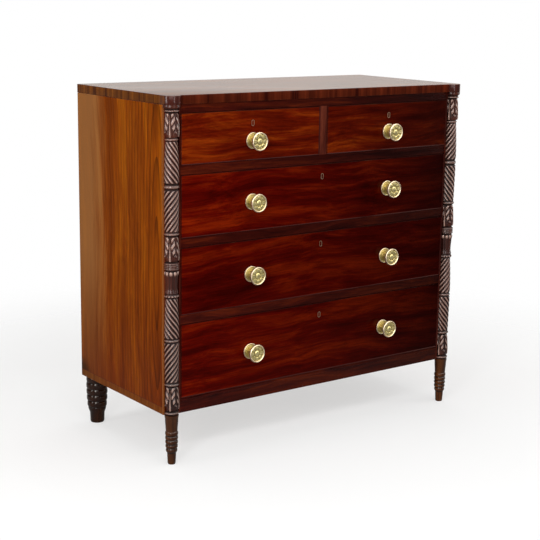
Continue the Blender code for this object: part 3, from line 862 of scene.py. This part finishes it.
def tongueSurface(angle, down):
    side = abs(angle / math.tau * tongue["count"] % 1.0 * 2 - 1)
    tipLine = tongue["tipShare"] + tongue["tipCurveShare"] * side ** tongue["tipPower"]
    above, below = tongue["tipSoftShares"]
    inTongue = smoothStep(tipLine - above, tipLine + below, down)
    waist = tongue["topRadiusShare"] - tongue["waistShare"] * smoothStep(*tongue["waistShares"], down)
    waist += tongue["flareShare"] * smoothStep(*tongue["flareShares"], down)
    foot = smoothStep(0.0, tongue["footShare"], 1 - down)
    crown = math.sqrt(max(0.0, 1 - side * side * tongue["flat"]))
    tip = 1 - smoothStep(*tongue["tipFadeShares"], down)
    lift = inTongue * (tongue["depth"] * crown + tongue["tipDepth"] * tip) * foot
    dark = max(smoothStep(*tongue["sideShades"], side) * tongue["sideShade"], 1 - inTongue, 1 - foot)
    rubbedAndHighlight = inTongue * (1 - smoothStep(*tongue["crestShades"], side)) * tongue["crestShade"] * tip
    return waist + lift / column["radius"], dark - rubbedAndHighlight


# Rope twists: the first of each pair swells downwards, the second draws in again and turns the other way
twist = {
    "strands": 9, "depth": 0.0042, "turns": 0.755, "flat": 0.97, "grooveShades": (0.55, 0.85),
    "crestShades": (0.05, 0.6), "endShare": 0.02, "thinShare": 0.80, "swellShare": 0.19, "swellRate": 1.15,
    "fullShare": 0.99, "drawInShare": 0.08, "drawInPower": 1.5,
}


def twistSurface(kind, angle, down):
    ends = smoothStep(0.0, twist["endShare"], down) * smoothStep(0.0, twist["endShare"], 1 - down)
    if kind == "swell":
        swollen = math.sin(math.pi / 2 * min(1.0, down * twist["swellRate"]))
        radius = twist["thinShare"] + twist["swellShare"] * swollen
        turned = twist["turns"] * down
    else:
        radius = twist["fullShare"] - twist["drawInShare"] * down ** twist["drawInPower"]
        turned = -twist["turns"] * down
    across = abs(twist["strands"] * (angle / math.tau - turned) % 1.0 * 2 - 1)
    hollow = math.sqrt(1 - twist["flat"] * across * across) - 1
    shade = smoothStep(*twist["grooveShades"], across) - (1 - smoothStep(*twist["crestShades"], across))
    cut = twist["depth"] * hollow * ends - column["cornerDip"] * (1 - ends)
    return radius + cut / column["radius"], shade * ends + 1 - ends


def columnSurface(angle, height):
    if height < chest["underside"]:
        return legSurface(height)
    for kind, high, low in sections:
        if height >= low - column["hair"]:
            break
    down = min(1.0, max(0.0, (high - height) / (high - low)))
    if kind == "cap":
        return capSurface(down)
    if kind == "leaf":
        return leafSurface(angle, down, high - low)
    if kind == "reed":
        return reedSurface(down)
    if kind == "tongue":
        return tongueSurface(angle, down)
    if kind in ("swell", "taper"):
        return twistSurface(kind, angle, down)
    return mouldingSurface(kind, angle, down)


def buildColumn(side, label):
    deselectAll()
    bpy.ops.mesh.primitive_grid_add(x_subdivisions=column["around"], y_subdivisions=column["rows"], size=2)
    piece = named(bpy.context.active_object, "carved_column_" + label)
    mesh = piece.data
    axisX = chest["halfWidth"] - column["inset"]
    axisY = chest["frontY"] + column["setback"]
    flatY = chest["frontY"] + column["flat"]
    stileX = chest["halfWidth"] - column["postWidth"] + column["stileWidth"] + chest["gap"]
    caseLow = chest["underside"] - chest["gap"]
    shades = []
    for vertex in mesh.vertices:
        angle = math.radians(column["seam"]) + (vertex.co.x + 1) / 2 * math.tau
        height = (vertex.co.y + 1) / 2 * chest["caseTop"]
        radiusShare, shade = columnSurface(angle, height)
        radius = column["radius"] * radiusShare
        x = -axisX + radius * math.cos(angle)
        y = axisY + radius * math.sin(angle)
        if height >= caseLow:  # cut flat where the corner post takes it
            y = min(y, flatY)
            x = min(x, -stileX)
        vertex.co = (-side * x, y, height)
        shades.append(shade)
    keepRelief(mesh, shades)
    editMode(piece)
    bpy.ops.mesh.select_all(action="SELECT")
    bpy.ops.mesh.remove_doubles(threshold=column["mergeWithin"])
    bpy.ops.mesh.select_all(action="DESELECT")
    bpy.ops.mesh.select_mode(type="EDGE")
    bpy.ops.mesh.select_non_manifold()
    bpy.ops.mesh.edge_face_add()
    turnFacesOut()
    leaveEdit()
    smoothEdges(column["smooth"])
    mesh.materials.append(carved)
    mesh.materials.append(legWood)
    for face in mesh.polygons:
        face.material_index = 1 if face.center.z < caseLow else 0
    dress(piece, "case", "front_column_" + label)


buildColumn(-1, "left")
buildColumn(1, "right")
print("columns carved")

# Top board: its outline is laid from a circle, with a rounded ear over each column
topBoard = {
    "earRadius": 0.0235, "earSteps": 48, "overhang": 0.005, "rounding": 0.0008, "roundingSteps": 2,
    "flatFacing": 0.9, "smooth": 40,
}


def topOutline():
    radius, steps = topBoard["earRadius"], topBoard["earSteps"]
    axisX = chest["halfWidth"] - radius
    axisY = chest["frontY"] + column["setback"]
    sweep = math.pi - math.asin((column["setback"] + topBoard["overhang"]) / radius)
    turns = [-sweep * step / steps for step in range(steps + 1)]
    ear = [(axisX + radius * math.cos(turn), axisY + radius * math.sin(turn)) for turn in turns]
    rightHalf = [(chest["halfWidth"], chest["backY"])] + ear
    return rightHalf + [(-x, y) for x, y in reversed(rightHalf)]


def buildTop():
    low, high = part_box("top")
    outline = topOutline()
    deselectAll()
    bpy.ops.mesh.primitive_circle_add(vertices=len(outline), radius=1.0, fill_type="NGON")
    piece = named(bpy.context.active_object, "top_board")
    for vertex, (x, y) in zip(piece.data.vertices, outline):
        vertex.co = (x, y, low.z)
    editMode(piece, "FACE")
    bpy.ops.mesh.select_all(action="SELECT")
    bpy.ops.mesh.extrude_region_move(TRANSFORM_OT_translate={"value": (0, 0, high.z - low.z)})
    turnFacesOut()
    leaveEdit()
    for face in piece.data.polygons:
        face.select = abs(face.normal.z) > topBoard["flatFacing"]
    bpy.ops.object.mode_set(mode="EDIT")
    bpy.ops.mesh.region_to_loop()
    bpy.ops.mesh.bevel(offset=topBoard["rounding"], segments=topBoard["roundingSteps"], affect="EDGES")
    leaveEdit()
    smoothEdges(topBoard["smooth"])
    piece.data.materials.append(woodMaterial("topVeneer", "topBoard").material)
    piece.data.materials.append(topEdgeMaterial())
    for face in piece.data.polygons:
        face.material_index = 0 if abs(face.normal.z) > topBoard["flatFacing"] else 1
    dress(piece, "case", "top")
    return piece


topPiece = buildTop()
print("top board shaped")


# Turned pieces: a disc is drawn out and drawn in step by step, as on a lathe
def turnPiece(name, profile, sides):
    deselectAll()
    radius, height = profile[0]
    centre = (0, 0, height)
    bpy.ops.mesh.primitive_circle_add(vertices=sides, radius=radius, fill_type="NGON", location=centre)
    piece = named(bpy.context.active_object, name)
    applyPlace(piece)
    editMode(piece, "FACE")
    bpy.ops.mesh.select_all(action="SELECT")
    for nextRadius, nextHeight in profile[1:]:
        bpy.ops.mesh.extrude_region_move(TRANSFORM_OT_translate={"value": (0, 0, nextHeight - height)})
        bpy.ops.transform.resize(value=(nextRadius / radius, nextRadius / radius, 1))
        radius, height = nextRadius, nextHeight
    turnFacesOut()
    leaveEdit()
    return piece


rearFoot = {
    "radius": 0.0315, "inset": 0.0325, "sides": 56, "tenon": 0.012, "smooth": 45,
    "neckShares": [], "ringSteps": 8, "dropShare": 0.06, "dropPower": 3,
    "grooveCoreShare": 0.005, "grooveReachShare": 0.02,
    "grooveShares": (0.0, 0.12, 0.26, 0.39, 0.525, 0.66), "crestShares": (0.985, 1.0, 0.99, 0.965, 0.915),
    "toeShares": [(0.66, 0.82), (0.675, 0.84), (0.70, 0.825), (0.73, 0.79), (0.76, 0.735), (0.80, 0.685),
                  (0.96, 0.66), (0.985, 0.64), (1.0, 0.60)],
}


def buildRearFoot(side, label):
    top = chest["underside"] - chest["gap"]
    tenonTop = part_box("rear_foot_" + label)[1].z
    points = [(rearFoot["radius"] * out, top * (1 - down)) for down, out in reversed(ringProfile(rearFoot))]
    points += [(rearFoot["tenon"], top), (rearFoot["tenon"], tenonTop)]
    piece = turnPiece("turned_foot_" + label, points, rearFoot["sides"])
    keepRelief(piece.data, [grooveShade(rearFoot, 1 - vertex.co.z / top) for vertex in piece.data.vertices])
    inset = rearFoot["inset"]
    piece.location = (side * (chest["halfWidth"] - inset), chest["backY"] - inset, 0)
    applyPlace(piece)
    smoothEdges(rearFoot["smooth"])
    piece.data.materials.append(footWood)
    dress(piece, "case", "rear_foot_" + label)


buildRearFoot(-1, "left")
buildRearFoot(1, "right")

# Knobs: backplate, neck and dished face from the back forwards, in shares of radius and reach
knob = {
    "radius": 0.0253, "reach": 0.0377, "sides": 72, "smooth": 60,
    "profileShares": [
        (0.86, 0.0), (0.875, 0.015), (0.875, 0.055), (0.865, 0.08), (0.84, 0.095), (0.80, 0.095),
        (0.77, 0.08), (0.74, 0.055), (0.70, 0.045), (0.62, 0.045), (0.60, 0.06), (0.58, 0.10),
        (0.57, 0.16), (0.565, 0.24), (0.565, 0.32), (0.57, 0.40), (0.58, 0.48), (0.605, 0.555),
        (0.65, 0.62), (0.71, 0.675), (0.78, 0.72), (0.87, 0.765), (0.94, 0.79), (0.985, 0.82),
        (1.0, 0.85), (1.0, 0.90), (0.985, 0.935), (0.955, 0.97), (0.92, 0.985), (0.885, 0.98),
        (0.86, 0.96), (0.84, 0.93), (0.82, 0.905), (0.79, 0.895), (0.72, 0.90), (0.64, 0.905),
        (0.56, 0.91), (0.48, 0.905), (0.42, 0.895), (0.38, 0.89), (0.34, 0.90), (0.30, 0.925),
        (0.26, 0.945), (0.20, 0.96), (0.13, 0.97), (0.06, 0.975)],
    "petals": 8, "petalLift": 0.0016, "petalRound": 0.6, "petalShares": (0.36, 0.82),
    "petalReachShare": 0.885, "rootShares": (0.36, 0.46), "tipShares": (0.72, 0.80),
    "tipGrowShares": (0.08, 0.02),
    "veinDip": 0.35, "veinWidth": 0.12, "bossShare": 0.36, "bossGrooveShare": 0.30, "bossReachShare": 0.88,
    "bossGrooveShade": 0.8, "bossShade": 0.1, "rimReachShare": 0.8, "plateRimShare": 0.79,
    "plateReachShare": 0.12, "plateShade": 0.5,
}


# Lifts the petals of the rosette and says how deep or proud each ring of the knob lies, from which the brass
# gets painted shade in the hollows and a painted highlight on the rims
def shapeKnobVertex(vertex):
    out = math.hypot(vertex.co.x, vertex.co.y) / knob["radius"]
    reach = vertex.co.z / knob["reach"]
    turn = math.atan2(vertex.co.y, vertex.co.x) * knob["petals"] / 2
    petalFrom, petalTo = knob["petalShares"]
    if reach > knob["petalReachShare"] and petalFrom < out < petalTo:
        petal = abs(math.cos(turn)) ** knob["petalRound"]
        tipFrom, tipTo = (tip + grow * petal for tip, grow in zip(knob["tipShares"], knob["tipGrowShares"]))
        fade = smoothStep(*knob["rootShares"], out) * (1 - smoothStep(tipFrom, tipTo, out))
        vein = 1 - knob["veinDip"] * math.exp(-(math.sin(turn) / knob["veinWidth"]) ** 2)
        vertex.co.z += knob["petalLift"] * petal * fade * vein
        return 1 - petal * fade
    if reach > knob["bossReachShare"] and out <= knob["bossShare"]:
        return knob["bossGrooveShade"] if out > knob["bossGrooveShare"] else knob["bossShade"]
    if reach > knob["rimReachShare"] or out > knob["plateRimShare"]:
        return -1.0
    return knob["plateShade"] if reach < knob["plateReachShare"] else 0.0


def buildKnobMaster():
    points = [(knob["radius"] * out, knob["reach"] * reach) for out, reach in knob["profileShares"]]
    piece = turnPiece("knob_master", points, knob["sides"])
    keepRelief(piece.data, [shapeKnobVertex(vertex) for vertex in piece.data.vertices])
    piece.rotation_euler = (math.pi / 2, 0, 0)
    applyPlace(piece)
    smoothEdges(knob["smooth"])
    piece.data.materials.append(brass)
    return piece


def placeKnobs():
    master = buildKnobMaster()
    for nodeName in sorted(nodes):
        if "_knob" not in nodeName:
            continue
        low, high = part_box(nodeName)
        piece = master.copy()
        piece.data = master.data.copy()
        bpy.context.scene.collection.objects.link(piece)
        named(piece, nodeName.replace("_knob", "_turned_knob"))
        piece.data.transform(Matrix.Translation(((low.x + high.x) / 2, high.y, (low.z + high.z) / 2)))
        dress(piece, nodeName.split("_knob")[0], nodeName)
    bpy.data.objects.remove(master)


placeKnobs()
print("turned feet and knobs placed")

# Studio: pale floor that melts into a white background, a dim room with a bright ceiling, soft lamps
studio = {
    "floorSize": 9.0, "floorDrop": 0.0002,
    "floorLook": {"Base Color": (0.42, 0.42, 0.42), "Roughness": 0.9, "Specular IOR Level": 0.0},
    "lift": 0.56, "fade": (0.8, 2.0), "backdropAt": (0.6, 0.8, 0.0), "backdropReach": (0.4, 0.85),
    "dim": 0.12, "backdrop": 0.76, "ceiling": 2.2, "ceilingReach": (0.4, 0.6), "fill": 0.32,
    "roomColour": (1.0, 0.98, 0.94), "background": (1.0, 1.0, 1.0), "aim": (0, 0, 0.6),
}
lamps = {
    "windowLeft": {"at": (-2.65, -1.9, 1.3), "size": (0.75, 2.5), "power": 44},
    "windowSide": {"at": (-3.1, 0.15, 1.2), "size": (0.6, 2.1), "power": 17},
    "windowRight": {"at": (2.7, -1.5, 1.2), "size": (0.45, 2.1), "power": 14},
    "windowFront": {"at": (-0.1, -3.0, 1.2), "size": (0.3, 2.3), "power": 8},
    "highStrip": {"at": (0.5, -2.6, 2.9), "size": (5.0, 0.5), "power": 40},
    "overCamera": {"at": (-2.9, -3.9, 2.6), "size": (4.4, 3.0), "power": 36},
    "softTop": {"at": (0, 0.3, 3.0), "size": (2.2, 1.6), "power": 30},
}


def mixShaders(tree, factor, first, second):
    node = addNode(tree, "ShaderNodeMixShader")
    feedRow(tree, node, (factor, first, second))
    return node.outputs[0]


def buildFloor():
    deselectAll()
    bpy.ops.mesh.primitive_plane_add(size=studio["floorSize"], location=(0, 0, -studio["floorDrop"]))
    floor = named(bpy.context.active_object, "studio_floor")
    material, tree, shader = newMaterial("paleFloor")
    feedSockets(tree, shader, studio["floorLook"])
    seen = addNode(tree, "ShaderNodeLightPath").outputs["Is Camera Ray"]
    glow = addNode(tree, "ShaderNodeEmission")
    feed(tree, glow.inputs["Strength"], times(tree, seen, studio["lift"]))
    both = addNode(tree, "ShaderNodeAddShader")
    feedRow(tree, both, (shader.outputs[0], glow.outputs[0]))
    away = vectorNode(tree, "LENGTH", "Value", addNode(tree, "ShaderNodeTexCoord").outputs["Object"])
    fade = rangeNode(tree, away, *studio["fade"], kind="SMOOTHSTEP")
    clear = addNode(tree, "ShaderNodeBsdfTransparent")
    melted = mixShaders(tree, fade, both.outputs[0], clear.outputs[0])
    feed(tree, tree.nodes["Material Output"].inputs["Surface"], melted)
    floor.data.materials.append(material)


# Polished wood and brass mirror a pale backdrop and a bright ceiling, and the camera sees plain white
def buildWorld():
    world = bpy.data.worlds.new("studioWorld")
    bpy.context.scene.world = world
    world.use_nodes = True
    tree = world.node_tree
    tree.nodes.clear()
    direction = addNode(tree, "ShaderNodeTexCoord").outputs["Generated"]
    facing = vectorNode(tree, "DOT_PRODUCT", "Value", direction, studio["backdropAt"])
    behind = rangeNode(tree, facing, *studio["backdropReach"], studio["dim"], studio["backdrop"])
    height = separate(tree, direction)["Z"]
    above = rangeNode(tree, height, *studio["ceilingReach"], 0.0, studio["ceiling"])
    path = addNode(tree, "ShaderNodeLightPath").outputs
    strength = addNode(tree, "ShaderNodeMix", data_type="FLOAT")
    mirrored = mathNode(tree, "MAXIMUM", behind, above)
    feedSockets(tree, strength, {0: path["Is Glossy Ray"], 2: studio["fill"], 3: mirrored})
    room = addNode(tree, "ShaderNodeBackground")
    feedRow(tree, room, (studio["roomColour"], strength.outputs[0]))
    white = addNode(tree, "ShaderNodeBackground")
    feed(tree, white.inputs["Color"], studio["background"])
    shown = mathNode(tree, "MAXIMUM", path["Is Camera Ray"], path["Is Transmission Ray"])
    output = addNode(tree, "ShaderNodeOutputWorld")
    feed(tree, output.inputs[0], mixShaders(tree, shown, room.outputs[0], white.outputs[0]))


def addLamp(name, look):
    data = bpy.data.lights.new(name, "AREA")
    data.shape = "RECTANGLE"
    data.size, data.size_y = look["size"]
    data.energy = look["power"]
    lamp = bpy.data.objects.new(name, data)
    bpy.context.scene.collection.objects.link(lamp)
    lamp.location = look["at"]
    aim = Vector(studio["aim"]) - Vector(look["at"])
    lamp.rotation_euler = aim.to_track_quat("-Z", "Y").to_euler()
    return lamp


buildFloor()
buildWorld()
lampObjects = {name: addLamp(name, look) for name, look in lamps.items()}

# The two brightest windows are kept off the polished top, which would mirror them as white patches
offTop = bpy.data.collections.new("keptOffTop")
offTop.objects.link(topPiece)
offTop.collection_objects[0].light_linking.link_state = "EXCLUDE"
for name in ("windowLeft", "windowRight"):
    lampObjects[name].light_linking.receiver_collection = offTop

# Camera at the photo's viewpoint: angles in degrees, focal length in pixels of a 540 pixel wide picture
view = {
    "focal": 1296.78, "pictureWidth": 540, "sensor": 36.0, "yaw": 36.7423, "pitch": 12.0956, "roll": 0.8757,
    "place": (-2.2981, -3.0518, 1.2628), "near": 0.05, "far": 60,
}


def buildCamera():
    data = bpy.data.cameras.new("photoCamera")
    camera = bpy.data.objects.new("photoCamera", data)
    bpy.context.scene.collection.objects.link(camera)
    yaw, pitch, roll = (math.radians(view[key]) for key in ("yaw", "pitch", "roll"))
    ahead = Vector((math.sin(yaw) * math.cos(pitch), math.cos(yaw) * math.cos(pitch), -math.sin(pitch)))
    level = Vector((math.cos(yaw), -math.sin(yaw), 0))
    above = level.cross(ahead)
    right = level * math.cos(roll) + above * math.sin(roll)
    up = above * math.cos(roll) - level * math.sin(roll)
    turned = Matrix((right, up, -ahead)).transposed()
    camera.matrix_world = Matrix.Translation(view["place"]) @ turned.to_4x4()
    data.sensor_width = view["sensor"]
    data.lens = view["focal"] / view["pictureWidth"] * view["sensor"]
    data.clip_start, data.clip_end = view["near"], view["far"]
    bpy.context.scene.camera = camera


buildCamera()
bpy.context.scene.view_settings.view_transform = "Standard"
print("studio and camera ready")
